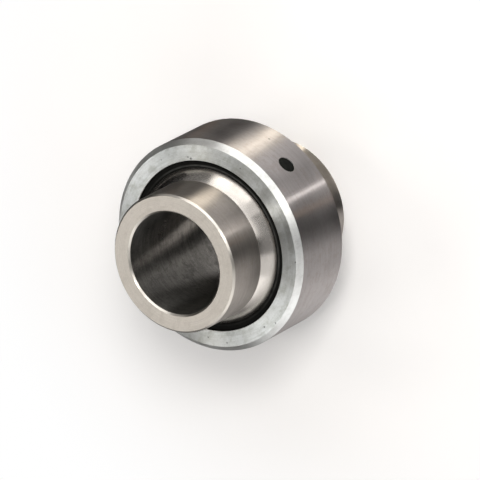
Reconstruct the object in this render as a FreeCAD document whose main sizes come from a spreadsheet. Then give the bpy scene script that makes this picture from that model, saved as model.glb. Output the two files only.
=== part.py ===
import FreeCAD, Part
import os

import Sketcher

# Spherical plain bearing with a long inner ring.
#
# The inner ring is a ball with a journal on each side, turned in one piece and bored through.
# The outer ring is formed round the ball. A moulded liner lies between the two, and a plug of the
# same black composite fills the filling port in the outer ring.
#
# Frame: the origin is the centre of the ball, +Z runs along the bore and the port looks towards -Y.
# Lengths are in millimetres.

NODES = ["inner_ring", "race_liner", "outer_ring", "port_plug"]

doc = FreeCAD.newDocument("spherical_plain_bearing")

# Driving dimensions
sheet = doc.addObject("Spreadsheet::Sheet", "Dims")
DRIVING_DIMENSIONS = [
    ("bore_dia", 19.05),
    ("inner_ring_width", 36.2),
    ("journal_dia", 25.8),
    ("ball_dia", 32.3),
    ("bore_chamfer", 0.35),
    ("journal_chamfer", 0.35),
    ("junction_fillet", 0.3),
    ("outer_ring_dia", 39.7),
    ("outer_ring_width", 14.6),
    ("outer_ring_chamfer", 1.0),
    ("face_opening_dia", 31.75),
    ("opening_edge_break", 0.12),
    ("liner_recess", 0.35),
    ("liner_dish", 0.15),
    ("liner_dish_dia", 30.4),
    ("running_clearance", 0.03),
    ("port_dia", 3.25),
    ("plug_recess", 0.1),
]
for row, (alias, value) in enumerate(DRIVING_DIMENSIONS, start=1):
    sheet.set("A%d" % row, alias)
    sheet.set("B%d" % row, str(value))
    sheet.setAlias("B%d" % row, alias)
doc.recompute()

# Formulas over the sheet, used where several sub-parts share a size
BALL_RADIUS = "Dims.ball_dia / 2"
JOURNAL_RADIUS = "Dims.journal_dia / 2"
RACE_RADIUS = "sqrt((Dims.face_opening_dia / 2) ^ 2 + (Dims.outer_ring_width / 2) ^ 2)"
LINER_END = "Dims.outer_ring_width / 2 - Dims.liner_recess"

# Sketcher's names for the origin, the horizontal axis and the points of a line or an arc
ORIGIN = (-1, 1)
HORIZONTAL_AXIS = -1
START, END, CENTRE = 1, 2, 3

XY_NORMAL = FreeCAD.Vector(0, 0, 1)


def dim(alias):
    """The value of one driving dimension."""
    return float(sheet.get(alias))


def new_body(name):
    body = doc.addObject("PartDesign::Body", name)
    body.Label = name
    body.Placement = FreeCAD.Placement()
    return body


def half_section(body, name):
    """A sketch on the body's XZ plane: its x is the radius and its y is the height."""
    plane = next(f for f in body.Origin.OriginFeatures if f.Role == "XZ_Plane")
    sketch = body.newObject("Sketcher::SketchObject", name)
    sketch.AttachmentSupport = [(plane, "")]
    sketch.MapMode = "FlatFace"
    return sketch


def add_line(sketch, start, end):
    return sketch.addGeometry(
        Part.LineSegment(FreeCAD.Vector(*start, 0), FreeCAD.Vector(*end, 0))
    )


def add_arc(sketch, lower, upper):
    """An arc about the origin, counter-clockwise from lower to upper."""
    first = FreeCAD.Vector(*lower, 0)
    last = FreeCAD.Vector(*upper, 0)
    circle = Part.Circle(FreeCAD.Vector(), XY_NORMAL, first.Length)
    return sketch.addGeometry(
        Part.ArcOfCircle(circle, circle.parameter(first), circle.parameter(last))
    )


def join(sketch, *pairs):
    """Close the profile: each pair is the (geometry, point) of two ends that meet."""
    for one, other in pairs:
        sketch.addConstraint(Sketcher.Constraint("Coincident", *one, *other))


def bind(sketch, name, constraint, formula):
    """Add a dimension to the sketch and bind it to the sheet."""
    index = sketch.addConstraint(constraint)
    sketch.renameConstraint(index, name)
    sketch.setExpression("Constraints." + name, formula)


def radius_at(sketch, name, geometry, point, formula):
    """Fix a point's distance from the bearing's axis."""
    start = sketch.getPoint(geometry, point).x
    bind(sketch, name, Sketcher.Constraint("DistanceX", *ORIGIN, geometry, point, start), formula)


def height_at(sketch, name, geometry, point, formula):
    """Fix a point's height above the ball's centre."""
    start = sketch.getPoint(geometry, point).y
    bind(sketch, name, Sketcher.Constraint("DistanceY", *ORIGIN, geometry, point, start), formula)


def arc_radius(sketch, name, arc, formula):
    start = sketch.Geometry[arc].Radius
    bind(sketch, name, Sketcher.Constraint("Radius", arc, start), formula)


def revolve(body, sketch, name):
    """Turn a half section once round the bearing's axis."""
    feature = body.newObject("PartDesign::Revolution", name)
    feature.Profile = sketch
    feature.ReferenceAxis = (sketch, ["V_Axis"])
    feature.Angle = 360
    doc.recompute()
    return feature


def ring_edges(feature, radius, height):
    """Names of the circular edges at this radius, at this height above and below the middle."""
    near = 0.01
    return [
        "Edge%d" % number
        for number, edge in enumerate(feature.Shape.Edges, start=1)
        if isinstance(edge.Curve, Part.Circle)
        and abs(edge.Curve.Radius - radius) < near
        and abs(abs(edge.Curve.Center.z) - height) < near
    ]


def dress(body, kind, name, base, edges, size_property, formula):
    """A chamfer or a fillet on the named edges of base."""
    feature = body.newObject("PartDesign::" + kind, name)
    feature.Base = (base, edges)
    feature.setExpression(size_property, formula)
    doc.recompute()
    return feature


# Inner ring: a ball between two journals, with one bore through all
def make_inner_ring():
    bore, journal = dim("bore_dia") / 2, dim("journal_dia") / 2
    end, ball = dim("inner_ring_width") / 2, dim("ball_dia") / 2
    shoulder = (ball**2 - journal**2) ** 0.5

    body = new_body("inner_ring")
    sketch = half_section(body, "inner_ring_section")
    bore_wall = add_line(sketch, (bore, -end), (bore, end))
    top_face = add_line(sketch, (bore, end), (journal, end))
    top_journal = add_line(sketch, (journal, end), (journal, shoulder))
    ball_arc = add_arc(sketch, (journal, -shoulder), (journal, shoulder))
    low_journal = add_line(sketch, (journal, -shoulder), (journal, -end))
    low_face = add_line(sketch, (journal, -end), (bore, -end))
    join(
        sketch,
        ((bore_wall, END), (top_face, START)),
        ((top_face, END), (top_journal, START)),
        ((top_journal, END), (ball_arc, END)),
        ((ball_arc, START), (low_journal, START)),
        ((low_journal, END), (low_face, START)),
        ((low_face, END), (bore_wall, START)),
        ((ball_arc, CENTRE), ORIGIN),
    )
    for upright in (bore_wall, top_journal, low_journal):
        sketch.addConstraint(Sketcher.Constraint("Vertical", upright))
    for flat in (top_face, low_face):
        sketch.addConstraint(Sketcher.Constraint("Horizontal", flat))
    sketch.addConstraint(
        Sketcher.Constraint("Symmetric", top_face, END, low_face, START, HORIZONTAL_AXIS)
    )
    radius_at(sketch, "bore_radius", bore_wall, START, "Dims.bore_dia / 2")
    radius_at(sketch, "journal_radius", top_journal, START, JOURNAL_RADIUS)
    height_at(sketch, "half_width", top_face, END, "Dims.inner_ring_width / 2")
    arc_radius(sketch, "ball_radius", ball_arc, BALL_RADIUS)

    turned = revolve(body, sketch, "turned_ring")
    edges = ring_edges(turned, bore, end)
    chamfered = dress(body, "Chamfer", "bore_edges", turned, edges, "Size", "Dims.bore_chamfer")
    edges = ring_edges(chamfered, journal, end)
    ended = dress(body, "Chamfer", "journal_ends", chamfered, edges, "Size", "Dims.journal_chamfer")
    edges = ring_edges(ended, journal, shoulder)
    dress(body, "Fillet", "journal_roots", ended, edges, "Radius", "Dims.junction_fillet")
    return body


# Race liner: a shell between two spheres, with its ends just below the outer ring's faces
def make_race_liner():
    inside = dim("ball_dia") / 2 + dim("running_clearance")
    opening, half_width = dim("face_opening_dia") / 2, dim("outer_ring_width") / 2
    outside = (opening**2 + half_width**2) ** 0.5 - dim("running_clearance")
    end = half_width - dim("liner_recess")
    inner_corner = (inside**2 - end**2) ** 0.5
    outer_corner = (outside**2 - end**2) ** 0.5
    dish, floor = dim("liner_dish_dia") / 2, end - dim("liner_dish")

    body = new_body("race_liner")
    sketch = half_section(body, "race_liner_section")
    ball_side = add_arc(sketch, (inner_corner, -end), (inner_corner, end))
    race_side = add_arc(sketch, (outer_corner, -end), (outer_corner, end))
    top_inner = add_line(sketch, (inner_corner, end), (dish, floor))
    top_outer = add_line(sketch, (dish, floor), (outer_corner, end))
    low_outer = add_line(sketch, (outer_corner, -end), (dish, -floor))
    low_inner = add_line(sketch, (dish, -floor), (inner_corner, -end))
    join(
        sketch,
        ((ball_side, END), (top_inner, START)),
        ((top_inner, END), (top_outer, START)),
        ((top_outer, END), (race_side, END)),
        ((race_side, START), (low_outer, START)),
        ((low_outer, END), (low_inner, START)),
        ((low_inner, END), (ball_side, START)),
        ((ball_side, CENTRE), ORIGIN),
        ((race_side, CENTRE), ORIGIN),
    )
    arc_radius(sketch, "ball_side_radius", ball_side, BALL_RADIUS + " + Dims.running_clearance")
    arc_radius(sketch, "race_side_radius", race_side, RACE_RADIUS + " - Dims.running_clearance")
    height_at(sketch, "top_inner_corner", ball_side, END, LINER_END)
    height_at(sketch, "top_outer_corner", race_side, END, LINER_END)
    for one, other in (
        ((ball_side, START), (ball_side, END)),
        ((race_side, START), (race_side, END)),
        ((low_outer, END), (top_inner, END)),
    ):
        sketch.addConstraint(Sketcher.Constraint("Symmetric", *one, *other, HORIZONTAL_AXIS))
    radius_at(sketch, "dish_radius", top_inner, END, "Dims.liner_dish_dia / 2")
    height_at(sketch, "dish_floor", top_inner, END, LINER_END + " - Dims.liner_dish")

    revolve(body, sketch, "moulded_liner")
    return body


# Outer ring: a round band with a spherical race inside and one radial filling port
def make_outer_ring():
    outside, opening = dim("outer_ring_dia") / 2, dim("face_opening_dia") / 2
    face = dim("outer_ring_width") / 2

    body = new_body("outer_ring")
    sketch = half_section(body, "outer_ring_section")
    band = add_line(sketch, (outside, -face), (outside, face))
    top_face = add_line(sketch, (outside, face), (opening, face))
    race = add_arc(sketch, (opening, -face), (opening, face))
    low_face = add_line(sketch, (opening, -face), (outside, -face))
    join(
        sketch,
        ((band, END), (top_face, START)),
        ((top_face, END), (race, END)),
        ((race, START), (low_face, START)),
        ((low_face, END), (band, START)),
        ((race, CENTRE), ORIGIN),
    )
    for flat in (top_face, low_face):
        sketch.addConstraint(Sketcher.Constraint("Horizontal", flat))
    sketch.addConstraint(
        Sketcher.Constraint("Symmetric", band, START, band, END, HORIZONTAL_AXIS)
    )
    radius_at(sketch, "outside_radius", band, END, "Dims.outer_ring_dia / 2")
    radius_at(sketch, "opening_radius", race, END, "Dims.face_opening_dia / 2")
    height_at(sketch, "half_width", band, END, "Dims.outer_ring_width / 2")

    turned = revolve(body, sketch, "turned_band")
    edges = ring_edges(turned, outside, face)
    eased = dress(body, "Chamfer", "rim_chamfers", turned, edges, "Size", "Dims.outer_ring_chamfer")
    edges = ring_edges(eased, opening, face)
    dress(body, "Chamfer", "opening_edges", eased, edges, "Size", "Dims.opening_edge_break")

    port_sketch = half_section(body, "port_circle")
    circle = Part.Circle(FreeCAD.Vector(), XY_NORMAL, dim("port_dia") / 2)
    port_circle = port_sketch.addGeometry(circle)
    join(port_sketch, ((port_circle, CENTRE), ORIGIN))
    arc_radius(port_sketch, "port_radius", port_circle, "Dims.port_dia / 2")
    port = body.newObject("PartDesign::Pocket", "filling_port")
    port.Profile = port_sketch
    port.Type = "Length"
    port.Reversed = True
    port.setExpression("Length", "Dims.outer_ring_dia")
    doc.recompute()
    return body


# Port plug: a round bar cut to the outer ring's wall, a little below its outside
def make_port_plug():
    bar = doc.addObject("Part::Cylinder", "plug_bar")
    bar.setExpression("Radius", "Dims.port_dia / 2")
    bar.setExpression("Height", "Dims.outer_ring_dia / 2")
    towards_port = FreeCAD.Rotation(FreeCAD.Vector(0, 0, 1), FreeCAD.Vector(0, -1, 0))
    bar.Placement = FreeCAD.Placement(FreeCAD.Vector(), towards_port)

    rim = doc.addObject("Part::Cylinder", "plug_rim")
    rim.setExpression("Radius", "Dims.outer_ring_dia / 2 - Dims.plug_recess")
    rim.setExpression("Height", "Dims.outer_ring_width")
    rim.setExpression("Placement.Base.z", "-Dims.outer_ring_width / 2")

    hollow = doc.addObject("Part::Sphere", "plug_hollow")
    hollow.setExpression("Radius", RACE_RADIUS)

    trimmed = doc.addObject("Part::Common", "trimmed_bar")
    trimmed.Base = bar
    trimmed.Tool = rim

    plug = doc.addObject("Part::Cut", "port_plug")
    plug.Label = "port_plug"
    plug.Base = trimmed
    plug.Tool = hollow
    plug.Placement = FreeCAD.Placement()
    return plug


PARTS = dict(
    zip(NODES, [make_inner_ring(), make_race_liner(), make_outer_ring(), make_port_plug()])
)
doc.recompute()

# Every object is sound before anything is written
for obj in doc.Objects:
    if {"Invalid", "Error"} & set(obj.State):
        raise RuntimeError("%s failed: %s" % (obj.Name, obj.State))
for node, obj in PARTS.items():
    shape = obj.Shape
    if shape.isNull() or not shape.isValid() or len(shape.Solids) != 1:
        raise RuntimeError("%s has no single valid solid" % node)

# The port opens towards -Y only
band_middle = (dim("outer_ring_dia") / 2 + dim("face_opening_dia") / 2) / 2
near = 0.001
ring_shape = PARTS["outer_ring"].Shape
if ring_shape.isInside(FreeCAD.Vector(0, -dim("outer_ring_dia") / 2 + near, 0), near, True):
    raise RuntimeError("the filling port isn't open towards -Y")
if not ring_shape.isInside(FreeCAD.Vector(0, band_middle, 0), near, True):
    raise RuntimeError("the outer ring's back is pierced")

os.makedirs("parts", exist_ok=True)
for node, obj in PARTS.items():
    obj.Shape.exportStep("parts/%s.step" % node)
    print("%s: %.1f mm3" % (node, obj.Shape.Volume))
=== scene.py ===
import math

import bpy
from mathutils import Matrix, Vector


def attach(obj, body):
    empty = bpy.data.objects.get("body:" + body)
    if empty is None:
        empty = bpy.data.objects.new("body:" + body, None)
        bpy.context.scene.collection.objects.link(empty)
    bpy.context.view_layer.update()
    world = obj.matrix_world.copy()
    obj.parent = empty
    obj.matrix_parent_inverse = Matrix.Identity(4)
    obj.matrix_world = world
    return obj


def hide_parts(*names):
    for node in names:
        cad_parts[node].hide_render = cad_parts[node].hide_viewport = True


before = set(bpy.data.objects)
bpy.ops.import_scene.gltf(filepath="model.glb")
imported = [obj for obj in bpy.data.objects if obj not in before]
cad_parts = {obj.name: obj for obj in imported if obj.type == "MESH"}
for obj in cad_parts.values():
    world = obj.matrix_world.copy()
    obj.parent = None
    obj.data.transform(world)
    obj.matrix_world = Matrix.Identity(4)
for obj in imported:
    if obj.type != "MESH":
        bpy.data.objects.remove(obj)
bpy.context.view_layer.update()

# Spherical plain bearing. Sizes are in millimetres and MM turns them into metres.
# The bearing's axis is +Z, the filling port looks towards -Y. An azimuth is an angle about +Z,
# in degrees: 0 looks towards the port, 90 towards +X.
MM = 0.001

BORE_RADIUS = 9.525
JOURNAL_RADIUS = 12.9
BALL_RADIUS = 16.15
HALF_LENGTH = 18.1
SMALL_CHAMFER = 0.35
ROOT_FILLET = 0.3
JOURNAL_ROUNDING = 0.1

RING_RADIUS = 19.85
RING_HALF_WIDTH = 7.3
RING_CHAMFER = 1.0
RING_ROUNDING = 0.14
OPENING_RADIUS = 15.875
OPENING_EDGE = 0.12
RACE_RADIUS = math.hypot(OPENING_RADIUS, RING_HALF_WIDTH)

CLEARANCE = 0.03
LINER_END = 6.95
LINER_DISH_RADIUS = 15.2
LINER_DISH_FLOOR = 6.8
LINER_ROUNDING = 0.3

PORT_RADIUS = 1.625
PORT_EDGE = 0.06
PLUG_RADIUS = 19.75
PLUG_SINK = 0.02
PLUG_SAG = 0.03
PLUG_RIPPLE = 0.018

# How fine the meshes are
SEGMENTS = 384
ROUNDING_STEPS = 4
ROOT_STEPS = 4
BALL_STEPS = 56
RACE_STEPS = 12
LINER_STEPS = 24
PLUG_AROUND, PLUG_RINGS = 64, 10
# A rounding takes no more than this share of an edge, and a row lies this far beside it
ROUNDING_SHARE = 0.3
SUPPORT = 0.03
SAME_PLACE = 1e-6

# The window in the outer ring's grid that the port is fitted into: half its width in segments, its
# rows and half its height. Plain rows lie beyond it, and rings of quads between it and the port.
PORT_HALF = 8
PORT_ROWS = 16
PORT_REACH = 2.6
WALL_ROWS = (3.6, 4.5)
PATCH_RINGS = 6
PORT_EDGE_STEPS = 4
PORT_WALL_STEPS = 4

# Each ring's surfaces, in the order in which it gets its materials. RING_EDGE holds the outer ring's
# chamfers, its race and the port's wall.
RING_WALL, RING_FACE, RING_EDGE = range(3)
JOURNAL_WALL, JOURNAL_FACE, BORE_WALL, BALL_WALL, JOURNAL_EDGE = range(5)
# The part of a normal from which a surface counts as a wall or a face
SQUARE = 0.9

# The photograph's direction
CAMERA_AZIMUTH = -18.5
CAMERA_ELEVATION = 51.45


# Profiles: lists of (radius, height, normal's radius, normal's height), going round the section
# with the material on the left
def corner_points(points, rounding):
    """A run of straight edges whose inner corners are rounded, with a row beside each rounding."""
    out = []
    runs = []
    for (r0, z0), (r1, z1) in zip(points, points[1:]):
        length = math.hypot(r1 - r0, z1 - z0)
        runs.append(((r1 - r0) / length, (z1 - z0) / length, length))
    for i, (r, z) in enumerate(points):
        if i in (0, len(points) - 1):
            tr, tz, _ = runs[0] if i == 0 else runs[-1]
            out.append((r, z, tz, -tr))
            continue
        (ar, az, alen), (br, bz, blen) = runs[i - 1], runs[i]
        turn = math.atan2(ar * bz - az * br, ar * br + az * bz)
        slope = abs(math.tan(turn / 2))
        cut = min(rounding * slope, ROUNDING_SHARE * min(alen, blen))
        radius = cut / slope
        side = 1 if turn > 0 else -1
        start = (r - ar * cut, z - az * cut)
        centre = (start[0] - az * radius * side, start[1] + ar * radius * side)
        out.append((start[0] - ar * SUPPORT, start[1] - az * SUPPORT, az, -ar))
        for k in range(ROUNDING_STEPS + 1):
            angle = turn * k / ROUNDING_STEPS
            tr = ar * math.cos(angle) - az * math.sin(angle)
            tz = az * math.cos(angle) + ar * math.sin(angle)
            out.append((centre[0] + tz * radius * side, centre[1] - tr * radius * side, tz, -tr))
        end = out[-1]
        out.append((end[0] + br * SUPPORT, end[1] + bz * SUPPORT, bz, -br))
    return out


def mirrored(points):
    """The same corners below the middle, in the order in which the section runs."""
    return [(r, -z) for r, z in reversed(points)]


def arc_points(centre, radius, first, last, steps, side=1):
    """An arc between two angles in degrees; side is -1 where the surface looks at the centre."""
    out = []
    for k in range(steps + 1):
        angle = math.radians(first + (last - first) * k / steps)
        c, s = math.cos(angle), math.sin(angle)
        out.append((centre[0] + radius * c, centre[1] + radius * s, side * c, side * s))
    return out


def joined(*parts):
    """One closed profile from runs that meet end to end. Where two runs share a point, it is kept
    once, with a normal between theirs."""
    out = []

    def merged(a, b):
        normal = Vector((a[2] + b[2], a[3] + b[3])).normalized()
        return (a[0], a[1], normal.x, normal.y)

    def together(a, b):
        return abs(a[0] - b[0]) < SAME_PLACE and abs(a[1] - b[1]) < SAME_PLACE

    for point in (p for part in parts for p in part):
        if out and together(point, out[-1]):
            out[-1] = merged(out[-1], point)
        else:
            out.append(point)
    if together(out[0], out[-1]):
        out[0] = merged(out[0], out.pop())
    return out


def rows_between(low, high, count):
    return [low + (high - low) * k / count for k in range(count + 1)]


def turned_point(radius, height, segment):
    """A point on the lathe's circle; segment 0 lies at the port."""
    angle = 2 * math.pi * segment / SEGMENTS
    return (radius * math.sin(angle), -radius * math.cos(angle), height)


class Shell:
    """A mesh under construction: its points, their normals, its faces and their materials."""

    def __init__(self):
        self.points, self.normals, self.faces, self.slots = [], [], [], []

    def add(self, point, normal):
        self.points.append(point)
        self.normals.append(normal)
        return len(self.points) - 1

    def face(self, corners, slot=0):
        self.faces.append(corners)
        self.slots.append(slot)

    def band(self, lower, upper, slot=0):
        """Quads between two closed loops of the same length."""
        n = len(lower)
        for k in range(n):
            m = (k + 1) % n
            self.face((lower[k], lower[m], upper[m], upper[k]), slot)

    def build(self, name, materials):
        mesh = bpy.data.meshes.new(name)
        mesh.from_pydata([[c * MM for c in p] for p in self.points], [], self.faces)
        for material in materials:
            mesh.materials.append(material)
        mesh.polygons.foreach_set("material_index", self.slots)
        mesh.polygons.foreach_set("use_smooth", [True] * len(self.faces))
        mesh.update()
        mesh.normals_split_custom_set_from_vertices(
            [Vector(n).normalized() for n in self.normals]
        )
        piece = bpy.data.objects.new(name, mesh)
        bpy.context.scene.collection.objects.link(piece)
        return piece


def lathe(shell, profile, slot_of, windows=()):
    """Turns a closed profile round the axis. A window is a pair of rows, and between them the quads
    at the port are left out. Returns the loops of point numbers."""
    loops = []
    for radius, height, nr, nz in profile:
        loop = []
        for k in range(SEGMENTS):
            loop.append(shell.add(turned_point(radius, height, k), turned_point(nr, nz, k)))
        loops.append(loop)
    count = len(profile)
    for i in range(count):
        j = (i + 1) % count
        slot = slot_of(profile[i], profile[j])
        beside_port = any(a <= i < b for a, b in windows)
        for k in range(SEGMENTS):
            from_port = k if k < SEGMENTS / 2 else k - SEGMENTS
            if beside_port and -PORT_HALF <= from_port < PORT_HALF:
                continue
            m = (k + 1) % SEGMENTS
            shell.face((loops[i][k], loops[i][m], loops[j][m], loops[j][k]), slot)
    return loops


# The outer ring and its port
def window_rim(loops, low, high):
    """The points round a window, counter-clockwise seen from outside. low and high are the rows at
    its lower and upper edge."""
    step = 1 if high > low else -1
    rim = [loops[low][k] for k in range(-PORT_HALF, PORT_HALF)]
    rim += [loops[i][PORT_HALF] for i in range(low, high, step)]
    rim += [loops[high][k] for k in range(PORT_HALF, -PORT_HALF, -1)]
    rim += [loops[i][-PORT_HALF] for i in range(high, low, -step)]
    return rim


def on_ring_wall(x, z):
    return -math.sqrt(RING_RADIUS**2 - x**2)


def on_race(x, z):
    return -math.sqrt(RACE_RADIUS**2 - x**2 - z**2)


def port_patch(shell, rim, surface, normal_at, radius, outward, slot):
    """Rings of quads from a window's rim to a round hole. surface gives y from x and z, and outward
    says whether it looks away from the axis."""
    loop = rim
    targets = []
    for index in rim:
        x, _, z = shell.points[index]
        reach = math.hypot(x, z)
        targets.append((x, z, x / reach * radius, z / reach * radius))
    for ring in range(1, PATCH_RINGS + 1):
        t = ring / PATCH_RINGS
        inner = []
        for x0, z0, x1, z1 in targets:
            x, z = x0 + (x1 - x0) * t, z0 + (z1 - z0) * t
            point = (x, surface(x, z), z)
            inner.append(shell.add(point, normal_at(point)))
        if outward:
            shell.band(loop, inner, slot)
        else:
            shell.band(inner, loop, slot)
        loop = inner
    return loop


def port_edge(shell, rim):
    """The port's rounded edge, from the ring's outside inwards."""
    for k in range(1, PORT_EDGE_STEPS + 1):
        angle = math.pi / 2 * k / PORT_EDGE_STEPS
        c, s = math.cos(angle), math.sin(angle)
        radius = PORT_RADIUS + PORT_EDGE * (1 - s)
        depth = PORT_EDGE * (1 - c)
        loop = []
        for index in rim:
            x, _, z = shell.points[index]
            reach = math.hypot(x, z)
            ux, uz = x / reach, z / reach
            px, pz = ux * radius, uz * radius
            point = (px, on_ring_wall(px, pz) + depth, pz)
            loop.append(shell.add(point, (-ux * s, -c, -uz * s)))
        shell.band(rim, loop, RING_WALL)
        rim = loop
    return rim


def port_wall(shell, outer, inner):
    """The port's wall, between the loops at its outer and inner end."""
    before = outer
    for k in range(1, PORT_WALL_STEPS):
        loop = []
        for outer_index, inner_index in zip(outer, inner):
            x, y0, z = shell.points[outer_index]
            y1 = shell.points[inner_index][1]
            loop.append(shell.add((x, y0 + (y1 - y0) * k / PORT_WALL_STEPS, z), (-x, 0, -z)))
        shell.band(before, loop, RING_EDGE)
        before = loop
    shell.band(before, inner, RING_EDGE)


def outer_ring_profile():
    """The outer ring's section, and the height at which the port's window ends on the race."""
    face, od = RING_HALF_WIDTH, RING_RADIUS
    corner = math.degrees(math.atan2(face, OPENING_RADIUS))
    race_end = corner - math.degrees(OPENING_EDGE / RACE_RADIUS)
    race_r = RACE_RADIUS * math.cos(math.radians(race_end))
    race_z = RACE_RADIUS * math.sin(math.radians(race_end))
    corners = [
        (od, WALL_ROWS[1]),
        (od, face - RING_CHAMFER),
        (od - RING_CHAMFER, face),
        (OPENING_RADIUS + OPENING_EDGE, face),
        (race_r, race_z),
    ]
    top = corner_points(corners, RING_ROUNDING)
    low = corner_points(mirrored(corners), RING_ROUNDING)
    window = rows_between(-PORT_REACH, PORT_REACH, PORT_ROWS)
    wall = [(od, z, 1, 0) for z in [-WALL_ROWS[0], *window, WALL_ROWS[0]]]
    end = math.degrees(PORT_REACH / RACE_RADIUS)
    race = arc_points((0, 0), RACE_RADIUS, race_end, end, RACE_STEPS, side=-1)[:-1]
    race += arc_points((0, 0), RACE_RADIUS, end, -end, PORT_ROWS, side=-1)
    race += arc_points((0, 0), RACE_RADIUS, -end, -race_end, RACE_STEPS, side=-1)[1:]
    return joined(wall, top, race, low), RACE_RADIUS * math.sin(math.radians(end))


def make_outer_ring(materials):
    profile, race_reach = outer_ring_profile()

    def slot_of(a, b):
        nr, nz = (a[2] + b[2]) / 2, (a[3] + b[3]) / 2
        if abs(nz) > SQUARE:
            return RING_FACE
        return RING_WALL if nr > SQUARE else RING_EDGE

    def row_at(height, looks_out):
        return next(
            i for i, (_, z, nr, _) in enumerate(profile)
            if (nr > 0) == looks_out and abs(z - height) < SAME_PLACE
        )

    # The race's rows run downwards, and the wall's upwards
    wall_low, wall_high = row_at(-PORT_REACH, True), row_at(PORT_REACH, True)
    race_low, race_high = row_at(-race_reach, False), row_at(race_reach, False)

    shell = Shell()
    loops = lathe(shell, profile, slot_of, [(wall_low, wall_high), (race_high, race_low)])
    outer = port_patch(
        shell, window_rim(loops, wall_low, wall_high), on_ring_wall,
        lambda p: (p[0], p[1], 0), PORT_RADIUS + PORT_EDGE, True, RING_WALL,
    )
    outer = port_edge(shell, outer)
    inner = port_patch(
        shell, window_rim(loops, race_low, race_high), on_race,
        lambda p: (-p[0], -p[1], -p[2]), PORT_RADIUS, False, RING_EDGE,
    )
    port_wall(shell, outer, inner)
    return shell.build("outer_ring_steel_body", materials)


# The inner ring
def make_inner_ring(materials):
    end, bore, journal = HALF_LENGTH, BORE_RADIUS, JOURNAL_RADIUS
    cut = SMALL_CHAMFER
    root_r = journal + ROOT_FILLET
    root_z = math.sqrt((BALL_RADIUS + ROOT_FILLET) ** 2 - root_r**2)
    ball_end = math.degrees(math.atan2(root_z, root_r))
    corners = [
        (journal, root_z),
        (journal, end - cut),
        (journal - cut, end),
        (bore + cut, end),
        (bore, end - cut),
        (bore, 0),
    ]
    low_journal = corner_points(mirrored(corners), JOURNAL_ROUNDING)
    low_root = arc_points((root_r, -root_z), ROOT_FILLET, 180, 180 - ball_end, ROOT_STEPS, side=-1)
    ball = arc_points((0, 0), BALL_RADIUS, -ball_end, ball_end, BALL_STEPS)
    top_root = arc_points((root_r, root_z), ROOT_FILLET, 180 + ball_end, 180, ROOT_STEPS, side=-1)
    top_journal = corner_points(corners, JOURNAL_ROUNDING)
    profile = joined(low_journal, low_root, ball, top_root, top_journal)
    # The heights and the radius from which a surface is the end face, a chamfer or the ball
    face_from = end - 0.1
    edge_from = end - cut - 0.1
    ball_from = journal + 0.05

    def slot_of(a, b):
        nr, nz = (a[2] + b[2]) / 2, (a[3] + b[3]) / 2
        radius, height = (a[0] + b[0]) / 2, (a[1] + b[1]) / 2
        if nr < -SQUARE:
            return BORE_WALL
        if abs(nz) > SQUARE and abs(height) > face_from:
            return JOURNAL_FACE
        if radius > ball_from:
            return BALL_WALL
        return JOURNAL_EDGE if abs(height) > edge_from else JOURNAL_WALL

    shell = Shell()
    lathe(shell, profile, slot_of)
    return shell.build("inner_ring_steel_body", materials)


# The liner
def make_liner(materials):
    inside, outside = BALL_RADIUS + CLEARANCE, RACE_RADIUS - CLEARANCE
    low = math.degrees(math.asin(LINER_END / inside))
    high = math.degrees(math.asin(LINER_END / outside))
    corners = [
        (outside * math.cos(math.radians(high)), LINER_END),
        (LINER_DISH_RADIUS, LINER_DISH_FLOOR),
        (inside * math.cos(math.radians(low)), LINER_END),
    ]
    profile = joined(
        arc_points((0, 0), outside, -high, high, LINER_STEPS),
        corner_points(corners, LINER_ROUNDING),
        arc_points((0, 0), inside, low, -low, LINER_STEPS, side=-1),
        corner_points(mirrored(corners), LINER_ROUNDING),
    )
    shell = Shell()
    lathe(shell, profile, lambda a, b: 0)
    return shell.build("moulded_liner", materials)


# The plug: a round bar with a slightly uneven outer end, closed at the race
def plug_end(x, z):
    """The outer end follows the ring's outside, sags towards its edge and ripples a little. The
    ripple's waves are given in radians per millimetre."""
    reach = math.hypot(x, z) / PORT_RADIUS
    ripple = math.sin(3.1 * x + 1.3) * math.cos(2.6 * z - 0.4) + 0.5 * math.sin(5.3 * z + 2 * x)
    round_end = -math.sqrt((PLUG_RADIUS - PLUG_SINK) ** 2 - x**2)
    return round_end + PLUG_SAG * reach**4 + PLUG_RIPPLE * ripple * (1 - reach**6)


def plug_end_normal(x, z):
    """The normal from the slopes over a small step."""
    step = 0.02
    dx = (plug_end(x + step, z) - plug_end(x - step, z)) / (2 * step)
    dz = (plug_end(x, z + step) - plug_end(x, z - step)) / (2 * step)
    return (dx, -1, dz)


def plug_disc(shell, y_at, normal_at, flip):
    """One end of the plug. Returns its outermost loop."""
    hub = shell.add((0, y_at(0, 0), 0), normal_at(0, 0))
    previous = None
    for ring in range(1, PLUG_RINGS + 1):
        radius = PORT_RADIUS * ring / PLUG_RINGS
        loop = []
        for k in range(PLUG_AROUND):
            angle = 2 * math.pi * k / PLUG_AROUND
            x, z = radius * math.cos(angle), radius * math.sin(angle)
            loop.append(shell.add((x, y_at(x, z), z), normal_at(x, z)))
        if previous is None:
            for k in range(PLUG_AROUND):
                m = (k + 1) % PLUG_AROUND
                shell.face((hub, loop[m], loop[k]) if flip else (hub, loop[k], loop[m]))
        elif flip:
            shell.band(previous, loop)
        else:
            shell.band(loop, previous)
        previous = loop
    return previous


def make_plug(materials):
    shell = Shell()
    outer = plug_disc(shell, plug_end, plug_end_normal, False)
    inner = plug_disc(shell, on_race, lambda x, z: (-x, RACE_RADIUS, -z), True)
    shell.band(inner, outer)
    return shell.build("port_filling", materials)


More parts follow.
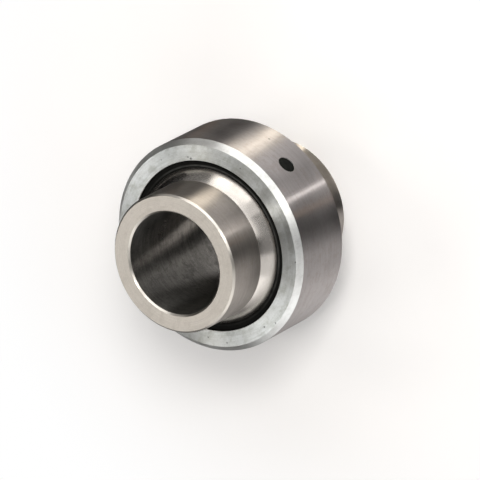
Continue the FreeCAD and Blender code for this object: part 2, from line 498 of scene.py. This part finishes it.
# Materials. What all steels share comes first: the tool's lines, their tone, and the wear. A scale
# is a noise's, per millimetre, and a depth is a share of the lines' own.
LINE_ALONG = 0.12
FACE_LINES = 1.37
FINE_ALONG, FINE_ACROSS, FINE_DEPTH = 0.35, 4, 0.35
LINE_TONE, PATCH_TONE = 0.6, 0.7
TONE_RANGE = (0.42, 0.88)
ROUGHNESS_CHANGE = 0.05
SPECKLE_SCALE = 4.5
DENT_SCALE = 1.6
SMUDGE_SCALE = 0.8
SMUDGE_STRETCH = (1.0, 0.6, 1.0)
SMUDGE_RANGE = (0.46, 0.66)
SMUDGE_ROUGHNESS = 0.12
PIT_CORE, PIT_DEPTH, PIT_COVER, PIT_TONE = 0.35, 1.5, 0.8, 0.25

# What the two composites share, in the same way
MOTTLE_SCALE = 0.9
GRAIN_TONE, MOTTLE_TONE = 0.7, 0.4
COMPOSITE_TONE_RANGE = (0.42, 0.72)
COMPOSITE_ROUGHNESS_CHANGE = 0.1
COMPOSITE_GRAIN_DEPTH = 0.05

# Painted highlight on the liner's lip, a lighter circle: where it starts and ends, how soft its two
# sides are, and how much of it is left in its quiet patches and on the side away from the port, where
# less light falls
LIP_START, LIP_END = 14.78, 15.02
LIP_SOFT_INSIDE, LIP_SOFT_OUTSIDE = 0.06, 0.08
LIP_PATCH_SCALE, LIP_PATCH_LEFT = 0.7, 0.35
LIP_FADE_Y, LIP_FADE_LEFT = (1.0, -9.0), 0.15


def node(tree, kind, **values):
    made = tree.nodes.new(kind)
    for key, value in values.items():
        setattr(made, key, value)
    return made


class Surface:
    """A material's node tree, with short calls for the nodes that the surfaces share."""

    def __init__(self, name):
        self.material = bpy.data.materials.new(name)
        self.material.use_nodes = True
        self.tree = self.material.node_tree
        self.tree.nodes.clear()
        self.out = node(self.tree, "ShaderNodeOutputMaterial")
        self.shader = node(self.tree, "ShaderNodeBsdfPrincipled")
        self.link(self.shader.outputs[0], self.out.inputs[0])
        self.place = node(self.tree, "ShaderNodeTexCoord").outputs["Object"]

    def link(self, a, b):
        self.tree.links.new(a, b)

    def feed(self, socket, value):
        if hasattr(value, "is_output"):
            self.link(value, socket)
        else:
            socket.default_value = value

    def math(self, operation, *values, clamp=False):
        made = node(self.tree, "ShaderNodeMath", operation=operation, use_clamp=clamp)
        for socket, value in zip(made.inputs, values):
            self.feed(socket, value)
        return made.outputs[0]

    def product(self, first, *others):
        for other in others:
            first = self.math("MULTIPLY", first, other)
        return first

    def vector(self, operation, *values, scale=None):
        made = node(self.tree, "ShaderNodeVectorMath", operation=operation)
        for socket, value in zip(made.inputs, values):
            self.feed(socket, value)
        if scale is not None:
            made.inputs["Scale"].default_value = scale
        return made.outputs["Value"] if operation in ("LENGTH", "DISTANCE") else made.outputs[0]

    def parts(self, vector):
        made = node(self.tree, "ShaderNodeSeparateXYZ")
        self.link(vector, made.inputs[0])
        return made.outputs

    def combined(self, x, y, z):
        made = node(self.tree, "ShaderNodeCombineXYZ")
        for socket, value in zip(made.inputs, (x, y, z)):
            self.feed(socket, value)
        return made.outputs[0]

    def noise(self, vector, scale, detail=2.0, roughness=0.5):
        made = node(self.tree, "ShaderNodeTexNoise")
        self.link(vector, made.inputs["Vector"])
        made.inputs["Scale"].default_value = scale
        made.inputs["Detail"].default_value = detail
        made.inputs["Roughness"].default_value = roughness
        return made.outputs[0]

    def spread(self, value, low, high, to_low=0.0, to_high=1.0, smooth=False):
        made = node(self.tree, "ShaderNodeMapRange", clamp=True)
        if smooth:
            made.interpolation_type = "SMOOTHSTEP"
        self.link(value, made.inputs[0])
        for socket, number in zip(list(made.inputs)[1:5], (low, high, to_low, to_high)):
            socket.default_value = number
        return made.outputs[0]

    def around(self, noise, middle, change):
        """A value that follows a noise, by a change up and down from its middle."""
        return self.spread(noise, 0.3, 0.7, middle - change, middle + change)

    def blend(self, amount, first, second):
        made = node(self.tree, "ShaderNodeMix", data_type="RGBA")
        self.feed(made.inputs["Factor"], amount)
        for socket, colour in ((made.inputs[6], first), (made.inputs[7], second)):
            if hasattr(colour, "is_output"):
                self.link(colour, socket)
            else:
                socket.default_value = (*colour, 1)
        return made.outputs[2]

    def bump(self, height, distance):
        made = node(self.tree, "ShaderNodeBump")
        made.inputs["Strength"].default_value = 1.0
        made.inputs["Distance"].default_value = distance
        self.link(height, made.inputs["Height"])
        return made.outputs[0]

    def set(self, **values):
        for key, value in values.items():
            self.shader.inputs[key.replace("_", " ")].default_value = value

    def feed_shader(self, colour, rough, normal):
        for name, value in (("Base Color", colour), ("Roughness", rough), ("Normal", normal)):
            self.link(value, self.shader.inputs[name])

    def mix_in(self, amount, other):
        """Lays another shader over the surface's own; amount is its share."""
        mixed = node(self.tree, "ShaderNodeMixShader")
        self.feed(mixed.inputs[0], amount)
        self.link(self.shader.outputs[0], mixed.inputs[1])
        self.link(other.outputs[0], mixed.inputs[2])
        self.link(mixed.outputs[0], self.out.inputs[0])

    def millimetres(self):
        return self.vector("SCALE", self.place, scale=1 / MM)

    def axis_distance(self, place_mm):
        x, y, _ = self.parts(place_mm)
        return self.vector("LENGTH", self.combined(x, y, 0.0))

    def turned(self, place_mm, along, across):
        """Coordinates in which a noise becomes lines round the axis: slow along the cut,
        fast across it, on walls and on faces alike."""
        x, y, z = self.parts(place_mm)
        radius = self.product(self.axis_distance(place_mm), FACE_LINES * across)
        cross = self.math("ADD", self.product(z, across), radius)
        return self.combined(self.product(x, along), self.product(y, along), cross)


def pit_mask(s, place, pits):
    """1 in the middle of each pit and 0 outside it."""
    mask = None
    for x, y, z, size in pits:
        far = s.vector("DISTANCE", place, (x, y, z))
        one = s.spread(far, size * PIT_CORE, size, 1.0, 0.0, smooth=True)
        mask = one if mask is None else s.math("MAXIMUM", mask, one)
    return mask


def steel(
    name, light, dark, roughness, anisotropy, line_width, line_depth,
    blotch=0.12, smudge=None, smudged=0.0, grain=0.0, dents=0.0, pits=(),
):
    """Turned or ground steel. light and dark are the ends of its tone. line_width and line_depth are
    those of the tool's lines, and blotch is the scale of its patches. smudge is the colour of dull
    patches and smudged their strength, grain is a fine even speckle, dents roughen the surface, and
    pits are small marks given as (x, y, z, size). Lengths are in millimetres."""
    s = Surface(name)
    place = s.millimetres()
    lines = s.noise(s.turned(place, LINE_ALONG, 1 / line_width), 1.0, detail=3.0, roughness=0.6)
    fine = s.noise(s.turned(place, FINE_ALONG, FINE_ACROSS / line_width), 1.0, detail=1.0)
    patches = s.noise(place, blotch, detail=3.0, roughness=0.55)
    tone = s.math("MULTIPLY_ADD", lines, LINE_TONE, s.product(patches, PATCH_TONE))
    tone = s.spread(tone, *TONE_RANGE)
    if grain:
        speckle = s.noise(place, SPECKLE_SCALE, detail=3.0, roughness=0.7)
        speckle = s.product(s.math("SUBTRACT", speckle, 0.5), grain)
        tone = s.math("ADD", tone, speckle, clamp=True)
    colour = s.blend(tone, dark, light)
    height = s.math("ADD", lines, s.product(fine, FINE_DEPTH))
    rough = s.around(patches, roughness, ROUGHNESS_CHANGE)
    if smudge is not None:
        drawn = s.vector("MULTIPLY", place, SMUDGE_STRETCH)
        cloud = s.noise(drawn, SMUDGE_SCALE, detail=6.0, roughness=0.75)
        cloud = s.spread(cloud, *SMUDGE_RANGE, 0.0, smudged, smooth=True)
        colour = s.blend(cloud, colour, smudge)
        rough = s.math("MULTIPLY_ADD", cloud, SMUDGE_ROUGHNESS, rough)
    if dents:
        dented = s.noise(place, DENT_SCALE, detail=4.0, roughness=0.6)
        height = s.math("MULTIPLY_ADD", dented, dents, height)
    if pits:
        pit = pit_mask(s, place, pits)
        colour = s.blend(s.product(pit, PIT_COVER), colour, tuple(PIT_TONE * c for c in dark))
        height = s.math("SUBTRACT", height, s.product(pit, PIT_DEPTH))
    s.feed_shader(colour, rough, s.bump(height, line_depth * MM))
    s.set(Metallic=1.0, Anisotropic=anisotropy, Anisotropic_Rotation=0.25)
    tangent = node(s.tree, "ShaderNodeTangent", direction_type="RADIAL", axis="Z")
    s.link(tangent.outputs[0], s.shader.inputs["Tangent"])
    return s.material


def lip_painted_highlight(s, place):
    """How strong the lip's painted highlight is: patchy, and most on the port's side, where light
    falls on it.
    """
    radius = s.axis_distance(place)
    inside = s.spread(radius, LIP_START - LIP_SOFT_INSIDE, LIP_START, smooth=True)
    outside = s.spread(radius, LIP_END, LIP_END + LIP_SOFT_OUTSIDE, 1.0, 0.0, smooth=True)
    patchy = s.noise(place, LIP_PATCH_SCALE, detail=4.0)
    patchy = s.spread(patchy, 0.3, 0.6, LIP_PATCH_LEFT, 1.0)
    towards_port = s.spread(s.parts(place)[1], *LIP_FADE_Y, LIP_FADE_LEFT, 1.0)
    return s.product(inside, outside, patchy, towards_port)


def composite(name, light, dark, roughness, grain, lip_highlight_colour=None):
    """Moulded black composite. grain is its scale, and the last argument is the colour of a painted
    highlight on its lip.
    """
    s = Surface(name)
    place = s.millimetres()
    grains = s.noise(place, grain, detail=4.0, roughness=0.65)
    mottle = s.noise(place, MOTTLE_SCALE, detail=2.0)
    tone = s.math("MULTIPLY_ADD", grains, GRAIN_TONE, s.product(mottle, MOTTLE_TONE))
    colour = s.blend(s.spread(tone, *COMPOSITE_TONE_RANGE), dark, light)
    if lip_highlight_colour is not None:
        # Painted highlight: the lip is lighter where light falls on it, most on the port's side.
        colour = s.blend(lip_painted_highlight(s, place), colour, lip_highlight_colour)
    rough = s.around(grains, roughness, COMPOSITE_ROUGHNESS_CHANGE)
    s.feed_shader(colour, rough, s.bump(grains, COMPOSITE_GRAIN_DEPTH * MM))
    s.set(Specular_IOR_Level=0.06)
    return s.material


def place_at(azimuth, radius, height):
    angle = math.radians(azimuth)
    return (radius * math.sin(angle), -radius * math.cos(angle), height)


# Pits: azimuth, distance from the axis, height and size
FACE_PITS = [
    (-129, 18.1, RING_HALF_WIDTH, 0.22),
    (-99, 17.7, RING_HALF_WIDTH, 0.26),
    (-91, 18.6, RING_HALF_WIDTH, 0.2),
    (-50, 18.75, RING_HALF_WIDTH, 0.24),
    (14, 17.6, RING_HALF_WIDTH, 0.16),
    (50, 16.3, RING_HALF_WIDTH, 0.3),
    (52, 16.6, RING_HALF_WIDTH, 0.2),
    (72, 17.5, RING_HALF_WIDTH, 0.16),
    (-142, 17.4, RING_HALF_WIDTH, 0.2),
]
WALL_PITS = [(18, RING_RADIUS, -2.6, 0.3)]


def placed(pits):
    return [(*place_at(azimuth, radius, height), size) for azimuth, radius, height, size in pits]


ring_ground = steel(
    "ring_ground_steel", light=(0.38, 0.354, 0.347), dark=(0.29, 0.272, 0.265),
    roughness=0.36, anisotropy=1.0, line_width=0.35, line_depth=0.003,
    smudge=(0.27, 0.235, 0.215), smudged=0.4, grain=0.7, dents=4.0, pits=placed(WALL_PITS),
)
ring_faced = steel(
    "ring_faced_steel", light=(0.71, 0.725, 0.715), dark=(0.46, 0.465, 0.44),
    roughness=0.45, anisotropy=1.0, line_width=0.5, line_depth=0.008, blotch=0.45,
    smudge=(0.40, 0.41, 0.36), smudged=0.5, grain=0.9, pits=placed(FACE_PITS),
)
ring_edge = steel(
    "ring_edge_steel", light=(0.68, 0.685, 0.67), dark=(0.50, 0.495, 0.48),
    roughness=0.38, anisotropy=0.7, line_width=0.3, line_depth=0.006,
    smudge=(0.40, 0.40, 0.38), smudged=0.4, grain=0.7, dents=2.5,
)
journal_ground = steel(
    "journal_ground_steel", light=(0.41, 0.375, 0.345), dark=(0.29, 0.265, 0.245),
    roughness=0.34, anisotropy=0.95, line_width=0.3, line_depth=0.004,
    smudge=(0.26, 0.23, 0.20), smudged=0.35, grain=0.4,
)
journal_faced = steel(
    "journal_faced_steel", light=(0.63, 0.585, 0.525), dark=(0.49, 0.45, 0.40),
    roughness=0.55, anisotropy=0.15, line_width=0.25, line_depth=0.003,
    smudge=(0.46, 0.42, 0.37), smudged=0.35, grain=1.2,
)
journal_edge = steel(
    "journal_edge_steel", light=(0.54, 0.51, 0.46), dark=(0.42, 0.39, 0.35),
    roughness=0.3, anisotropy=0.6, line_width=0.3, line_depth=0.004,
)
bore_honed = steel(
    "bore_honed_steel", light=(0.19, 0.183, 0.168), dark=(0.08, 0.076, 0.07),
    roughness=0.31, anisotropy=1.0, line_width=0.5, line_depth=0.010,
    smudge=(0.065, 0.063, 0.056), smudged=0.6, grain=1.3, dents=1.2,
)
ball_ground = steel(
    "ball_ground_steel", light=(0.61, 0.572, 0.53), dark=(0.50, 0.465, 0.43),
    roughness=0.2, anisotropy=0.5, line_width=0.3, line_depth=0.002,
    smudge=(0.46, 0.43, 0.39), smudged=0.3, grain=0.4,
)
# The liner's lip gets a painted highlight in the colour given last.
liner_black = composite(
    "liner_black_composite", light=(0.007, 0.007, 0.006), dark=(0.0015, 0.0015, 0.0013),
    roughness=0.65, grain=5.0, lip_highlight_colour=(0.045, 0.045, 0.042),
)
port_black = composite(
    "port_black_composite", light=(0.009, 0.011, 0.0085), dark=(0.001, 0.0013, 0.001),
    roughness=0.6, grain=2.2,
)

outer_ring = make_outer_ring([ring_ground, ring_faced, ring_edge])
inner_ring = make_inner_ring([journal_ground, journal_faced, bore_honed, ball_ground, journal_edge])
liner = make_liner([liner_black])
plug = make_plug([port_black])

for piece, node_name, body, slot in (
    (inner_ring, "inner_ring", "inner_ring", "inner_ring_steel"),
    (liner, "race_liner", "race_liner", "liner_composite"),
    (outer_ring, "outer_ring", "outer_ring", "outer_ring_steel"),
    (plug, "port_plug", "outer_ring", "liner_composite"),
):
    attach(piece, body)
    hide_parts(node_name)


# The studio's own pieces
def stage_piece(name, points, faces, material):
    """A piece of the studio, with its points in metres."""
    mesh = bpy.data.meshes.new(name)
    mesh.from_pydata(points, [], faces)
    mesh.materials.append(material)
    piece = bpy.data.objects.new(name, mesh)
    bpy.context.scene.collection.objects.link(piece)
    return piece


def only_for_steel(piece):
    """Leaves a piece of the studio to reflections alone."""
    piece.visible_camera = piece.visible_shadow = piece.visible_diffuse = False


def grid_faces(columns, rows):
    """The quads of a grid whose points run along its columns first."""
    width = columns + 1
    corners = [row * width + column for row in range(rows) for column in range(columns)]
    return [(c, c + 1, c + width + 1, c + width) for c in corners]


def plain_rays(tree):
    """1 for the camera's rays, and for those by which metal and glass show what is behind."""
    rays = node(tree, "ShaderNodeLightPath").outputs
    seen = rays["Is Camera Ray"]
    for kind in ("Is Glossy Ray", "Is Transmission Ray"):
        larger = node(tree, "ShaderNodeMath", operation="MAXIMUM")
        tree.links.new(seen, larger.inputs[0])
        tree.links.new(rays[kind], larger.inputs[1])
        seen = larger.outputs[0]
    return seen


# Floor. The camera and the steel see part of it as plain white, so that the rest of it holds a
# light shadow, and all of it far from the bearing. Its lengths are in metres.
FLOOR_HALF = 3.0
FLOOR_LEVEL = -HALF_LENGTH * MM
FLOOR_WHITE = 0.15
WHITE_FROM, WHITE_TO = 0.040, 0.080
FLOOR_COLOURS = ((0.94, 0.92, 0.905), (0.96, 0.94, 0.925))


def make_floor():
    paper = Surface("floor_paper")
    grain = paper.noise(paper.place, scale=60.0, detail=3.0)
    paper.link(paper.blend(grain, *FLOOR_COLOURS), paper.shader.inputs["Base Color"])
    paper.set(Roughness=0.9, Specular_IOR_Level=0.2)
    reach = paper.vector("LENGTH", paper.place)
    away = paper.spread(reach, WHITE_FROM, WHITE_TO, FLOOR_WHITE, 1.0, smooth=True)
    white = node(paper.tree, "ShaderNodeEmission")
    paper.mix_in(paper.product(plain_rays(paper.tree), away), white)
    corners = [(-1, -1), (1, -1), (1, 1), (-1, 1)]
    points = [(x * FLOOR_HALF, y * FLOOR_HALF, FLOOR_LEVEL) for x, y in corners]
    stage_piece("floor", points, [(0, 1, 2, 3)], paper.material)


make_floor()


# Lights
def towards(azimuth, elevation):
    a, e = math.radians(azimuth), math.radians(elevation)
    return Vector((math.sin(a) * math.cos(e), -math.cos(a) * math.cos(e), math.sin(e)))


def panel(name, azimuth, elevation, distance, wide, tall, radiance, colour=(1, 1, 1)):
    """A rectangular lamp that looks at the origin. wide and tall are angles in degrees, and the
    distance is in metres."""
    width = 2 * distance * math.tan(math.radians(wide / 2))
    height = 2 * distance * math.tan(math.radians(tall / 2))
    data = bpy.data.lights.new(name, "AREA")
    data.shape = "RECTANGLE"
    data.size, data.size_y = width, height
    data.energy = radiance * math.pi * width * height
    data.color = colour
    lamp = bpy.data.objects.new(name, data)
    direction = towards(azimuth, elevation)
    lamp.location = direction * distance
    lamp.rotation_euler = direction.to_track_quat("Z", "Y").to_euler()
    lamp.visible_camera = False
    bpy.context.scene.collection.objects.link(lamp)
    return lamp


panel("front_softbox_left", -10, 37, 0.7, 46, 26, 1.3)
panel("front_softbox_right", 38, 34, 0.7, 46, 26, 1.9)
front_low = panel("front_low", 31, 6, 0.3, 52, 18, 1.2, (1.0, 0.98, 0.95))
front_low.visible_diffuse = False
panel("side_lamp", 98, 48, 0.6, 15, 15, 5.0, (1.0, 0.96, 0.9))
panel("left_softbox", -104, 22, 0.8, 30, 40, 0.7)
panel("top_left_panel", -75, 57, 0.7, 20, 16, 1.3)
panel("thin_strip_high", -17, 54, 0.5, 3.5, 26, 16.0, (1.0, 0.97, 0.93))
panel("back_softbox_left", 147, 43, 0.9, 24, 24, 2.0)
panel("back_softbox_right", 225, 36, 0.9, 30, 28, 1.5)
shadow_lamp = panel("shadow_lamp", -3, 47, 0.6, 14, 14, 28.0, (1.0, 0.98, 0.96))
shadow_lamp.visible_glossy = False


# Striped sheets on the floor that only the steel sees. Their stripes are laid out so that a round
# wall mirrors them along its axis. Each stripe is the azimuth that the wall faces, its brightness
# and its colour. A sheet reaches from its first stripe's azimuth to its END, and shows in mirror
# rays at its ELEVATIONS that leave the wall at its HEIGHT. STRIPE_TOP is the highest brightness
# that a stripe can have.
STRIPE_TOP = 8.0
GREY, CREAM, ORANGE = (1.0, 0.97, 0.96), (1.0, 0.93, 0.80), (1.0, 0.66, 0.42)
PINK = (1.0, 0.93, 0.88)
RING_STRIPES = [
    (-180, 0.25, GREY), (-120, 0.28, GREY), (-100, 0.40, GREY), (-91, 0.75, GREY),
    (-80, 1.05, GREY), (-70, 1.2, GREY), (-60, 0.95, GREY), (-50, 0.85, GREY), (-45, 0.60, GREY),
    (-41, 0.25, GREY), (-36, 0.04, GREY), (-27, 0.03, GREY), (-26.2, 0.8, ORANGE),
    (-25.4, 0.8, ORANGE), (-24.8, 0.08, GREY), (-20, 0.16, GREY), (-17.6, 0.30, GREY),
    (-17.3, 6.0, GREY), (-16.5, 6.0, GREY), (-16.2, 0.28, GREY), (0, 0.65, GREY), (10, 1.1, GREY),
    (13.5, 1.4, CREAM), (16, 3.2, CREAM), (20.5, 3.2, CREAM), (23, 0.8, CREAM), (26, 0.35, GREY),
    (30, 0.1, GREY), (34, 0.0, GREY), (47, 0.0, GREY), (53, 0.2, ORANGE), (60, 0.04, GREY),
]
RING_SHEET_END = 120
RING_ELEVATIONS = [-82, -76, -70, -63, -56, -51, -45, -38, -31, -26, -22]
FAR_STRIPES = [
    (-180, 0.20, GREY), (-100, 0.25, GREY), (-85, 0.6, GREY), (-70, 1.0, GREY), (-60, 0.95, GREY),
    (-50, 0.8, GREY), (-44, 0.5, GREY), (-38, 0.12, GREY), (-25, 0.08, GREY), (-21, 0.6, GREY),
    (-18, 2.6, GREY), (-11, 2.0, GREY), (-7, 0.7, GREY), (0, 0.6, GREY), (9, 0.8, GREY),
    (14, 1.2, CREAM), (17, 6.0, CREAM), (20, 8.0, CREAM), (23, 7.0, CREAM), (27, 0.8, CREAM),
    (31, 0.1, GREY), (60, 0.0, GREY),
]
FAR_SHEET_END = 120
FAR_ELEVATIONS = [-31, -26, -22, -18, -14, -10, -7, -5, -3.5]
FAR_HEIGHT = 14.0
FOOT_STRIPES = [
    (-180, 0.8, GREY), (-62, 0.85, GREY), (-47, 0.95, GREY), (-42, 0.6, GREY), (-38, 0.05, GREY),
    (-30, 0.05, GREY), (-25, 0.2, CREAM), (-18, 0.38, CREAM), (-5, 0.45, CREAM), (8, 0.5, CREAM),
    (12, 0.9, CREAM), (14, 3.4, CREAM), (17, 3.4, CREAM), (20, 1.2, CREAM), (25, 0.75, GREY),
    (60, 0.75, GREY),
]
FOOT_SHEET_END = 120
FOOT_ELEVATIONS = [-84, -76, -68, -60, -53, -46, -38, -31, -26]
FOOT_HEIGHT = -14.0
BORE_STRIPES = [
    (-85, 0.0, GREY), (-65, 0.0, GREY), (-60, 0.8, PINK), (-55, 4.0, PINK), (-46, 4.0, PINK),
    (-41, 0.9, PINK), (-37, 0.0, GREY), (-28, 0.1, GREY), (-20, 1.7, GREY), (-10, 2.0, GREY),
    (3, 2.1, GREY), (12, 1.3, GREY), (17, 0.1, GREY), (22, 0.0, GREY), (45, 0.0, GREY),
]
BORE_SHEET_END = 60
BORE_ELEVATIONS = [-88, -84, -80, -76, -72, -68, -64, -60, -57, -54, -51, -48, -46]
SHEET_EDGE = 0.15
COLUMNS_PER_DEGREE = 2


def sheet_point(azimuth, elevation, start, height, lift):
    """Where the floor shows in a round wall that faces an azimuth, for a mirror ray at an elevation.
    start is the wall's distance from the axis, below zero inside a bore, and height is where the
    ray leaves it."""
    from_camera = math.radians(azimuth - CAMERA_AZIMUTH)
    sideways = math.cos(math.radians(CAMERA_ELEVATION)) * math.sin(from_camera)
    sideways = max(-1.0, min(1.0, sideways / math.cos(math.radians(elevation))))
    swing = math.asin(sideways)
    reach = (HALF_LENGTH + height) / math.tan(math.radians(-elevation))
    if start < 0:
        reach = min(reach, -2 * (start + SHEET_EDGE) * math.cos(swing))
    spot = towards(azimuth, 0) * start + towards(azimuth + math.degrees(swing), 0) * reach
    return (spot.x * MM, spot.y * MM, (lift - HALF_LENGTH) * MM)


def stripe_paint(name, stripes, last):
    """Emission whose colours follow the mesh's band value, from 0 at the first stripe to 1 at the
    last azimuth."""
    first = stripes[0][0]
    paint = Surface(name)
    band = node(paint.tree, "ShaderNodeAttribute", attribute_name="band")
    ramp = node(paint.tree, "ShaderNodeValToRGB")
    paint.link(band.outputs["Fac"], ramp.inputs[0])
    stops = ramp.color_ramp.elements
    for k, (azimuth, brightness, colour) in enumerate(stripes):
        stop = stops[k] if k < 2 else stops.new(1.0)
        stop.position = (azimuth - first) / (last - first)
        stop.color = (*(c * brightness / STRIPE_TOP for c in colour), 1)
    paint.link(ramp.outputs[0], paint.shader.inputs["Emission Color"])
    paint.set(Base_Color=(0.0, 0.0, 0.0, 1), Roughness=1.0, Specular_IOR_Level=0.0)
    paint.set(Emission_Strength=STRIPE_TOP)
    return paint.material


def striped_sheet(name, stripes, last, elevations, start, height=0.0, lift=0.25):
    """A sheet between its first stripe and the last azimuth, raised off the floor by lift."""
    first = stripes[0][0]
    columns = COLUMNS_PER_DEGREE * (last - first)
    points, bands = [], []
    for elevation in elevations:
        for k in range(columns + 1):
            azimuth = first + (last - first) * k / columns
            points.append(sheet_point(azimuth, elevation, start, height, lift))
            bands.append(k / columns)
    paint = stripe_paint(name + "_paint", stripes, last)
    sheet = stage_piece(name, points, grid_faces(columns, len(elevations) - 1), paint)
    band = sheet.data.attributes.new("band", "FLOAT", "POINT")
    band.data.foreach_set("value", bands)
    only_for_steel(sheet)


striped_sheet("ring_sheet", RING_STRIPES, RING_SHEET_END, RING_ELEVATIONS, RING_RADIUS)
striped_sheet(
    "far_sheet", FAR_STRIPES, FAR_SHEET_END, FAR_ELEVATIONS, JOURNAL_RADIUS, FAR_HEIGHT, lift=0.15
)
striped_sheet(
    "foot_sheet", FOOT_STRIPES, FOOT_SHEET_END, FOOT_ELEVATIONS, JOURNAL_RADIUS, FOOT_HEIGHT, lift=0.2
)
striped_sheet(
    "bore_sheet", BORE_STRIPES, BORE_SHEET_END, BORE_ELEVATIONS, -(BORE_RADIUS - SHEET_EDGE)
)


# Dark flags that only the steel sees
FLAG_COLUMNS, FLAG_ROWS = 24, 8
FLAG_COLOURS = ((0.02, 0.02, 0.02), (0.03, 0.03, 0.03))


def flag(name, azimuth, half_width, low, high, sheer=0.0):
    """A black cloth on a sphere of 1 m about the bearing, between two elevations. sheer is the
    share of light that it lets through."""
    points = []
    for row in range(FLAG_ROWS + 1):
        elevation = low + (high - low) * row / FLAG_ROWS
        for column in range(FLAG_COLUMNS + 1):
            side = 2 * column / FLAG_COLUMNS - 1
            points.append(towards(azimuth + half_width * side, elevation))
    cloth = Surface(name + "_cloth")
    weave = cloth.noise(cloth.place, scale=40.0)
    cloth.link(cloth.blend(weave, *FLAG_COLOURS), cloth.shader.inputs["Base Color"])
    cloth.set(Roughness=0.95)
    if sheer:
        cloth.mix_in(sheer, node(cloth.tree, "ShaderNodeBsdfTransparent"))
    faces = grid_faces(FLAG_COLUMNS, FLAG_ROWS)
    only_for_steel(stage_piece(name, points, faces, cloth.material))


flag("flag_left", -52, 13, 18, 40)
flag("flag_left_low", -37, 25, -1, 18, sheer=0.3)
flag("flag_right_high", 88, 30, 30, 60)
flag("flag_right", 107, 17, 5, 30)
flag("flag_right_sheer", 73, 17, 5, 30, sheer=0.5)
flag("flag_right_floor", 99, 42, -1, 5)
flag("flag_right_low", 134, 16, -1, 18)
flag("flag_back", 161.5, 20, -1, 37)
flag("flag_back_low", -172, 26, -1, 24)
flag("flag_top", 0, 180, 62, 89)


# A black card close above the outer ring's face, so that the ball mirrors black there. It is clear
# from below, so the face keeps its light.
CARD_HEIGHT = RING_HALF_WIDTH + 0.12
CARD_ENDS = (61, 128)
CARD_RADII = (OPENING_RADIUS - 0.2, RING_RADIUS - RING_CHAMFER)
CARD_STEPS = 35
CARD_COLOURS = ((0.004, 0.004, 0.004), (0.008, 0.008, 0.008))


def make_card():
    points = []
    for step in range(CARD_STEPS + 1):
        azimuth = CARD_ENDS[0] + (CARD_ENDS[1] - CARD_ENDS[0]) * step / CARD_STEPS
        for radius in CARD_RADII:
            points.append(tuple(c * MM for c in place_at(azimuth, radius, CARD_HEIGHT)))
    felt = Surface("card_felt")
    fibres = felt.noise(felt.place, scale=900.0)
    felt.link(felt.blend(fibres, *CARD_COLOURS), felt.shader.inputs["Base Color"])
    felt.set(Roughness=1.0, Specular_IOR_Level=0.0)
    from_below = node(felt.tree, "ShaderNodeNewGeometry").outputs["Backfacing"]
    felt.mix_in(from_below, node(felt.tree, "ShaderNodeBsdfTransparent"))
    only_for_steel(
        stage_piece("card_over_face", points, grid_faces(1, CARD_STEPS), felt.material)
    )


make_card()


# World: white for the camera and in reflections, and a weak fill for the rest
WORLD_FILL = 0.15


def white_world():
    world = bpy.data.worlds.new("studio")
    world.use_nodes = True
    tree = world.node_tree
    tree.nodes.clear()
    sky = node(tree, "ShaderNodeBackground")
    sky.inputs["Color"].default_value = (1, 1, 1, 1)
    strength = node(tree, "ShaderNodeMapRange")
    tree.links.new(plain_rays(tree), strength.inputs[0])
    to_low, to_high = strength.inputs[3], strength.inputs[4]
    to_low.default_value, to_high.default_value = WORLD_FILL, 1.0
    tree.links.new(strength.outputs[0], sky.inputs["Strength"])
    tree.links.new(sky.outputs[0], node(tree, "ShaderNodeOutputWorld").inputs[0])
    return world


bpy.context.scene.world = white_world()


# Camera: the photograph's direction on the bearing, from far away with a long lens. Its place is
# given in radii of the outer ring: to the right, up and back from the origin.
CAMERA_ROLL = -117.75
CAMERA_RIGHT, CAMERA_UP, CAMERA_DISTANCE = 0.0903, -0.0505, 59.17
LENS = 491.1
SENSOR_WIDTH = 36
CLIP_START, CLIP_END = 0.01, 20


def placed_camera():
    data = bpy.data.cameras.new("camera")
    data.lens = LENS
    data.sensor_width = SENSOR_WIDTH
    data.clip_start, data.clip_end = CLIP_START, CLIP_END
    camera = bpy.data.objects.new("camera", data)
    bpy.context.scene.collection.objects.link(camera)
    back = towards(CAMERA_AZIMUTH, CAMERA_ELEVATION)
    level_right = Vector((0, 0, 1)).cross(back).normalized()
    level_up = back.cross(level_right)
    roll = math.radians(CAMERA_ROLL)
    right = level_right * math.cos(roll) + level_up * math.sin(roll)
    up = back.cross(right)
    from_origin = right * CAMERA_RIGHT + up * CAMERA_UP + back * CAMERA_DISTANCE
    matrix = camera.matrix_world.copy()
    for column, axis in enumerate((right, up, back, from_origin * RING_RADIUS * MM)):
        for line in range(3):
            matrix[line][column] = axis[line]
    camera.matrix_world = matrix
    return camera


bpy.context.scene.camera = placed_camera()
bpy.context.scene.view_settings.view_transform = "Standard"
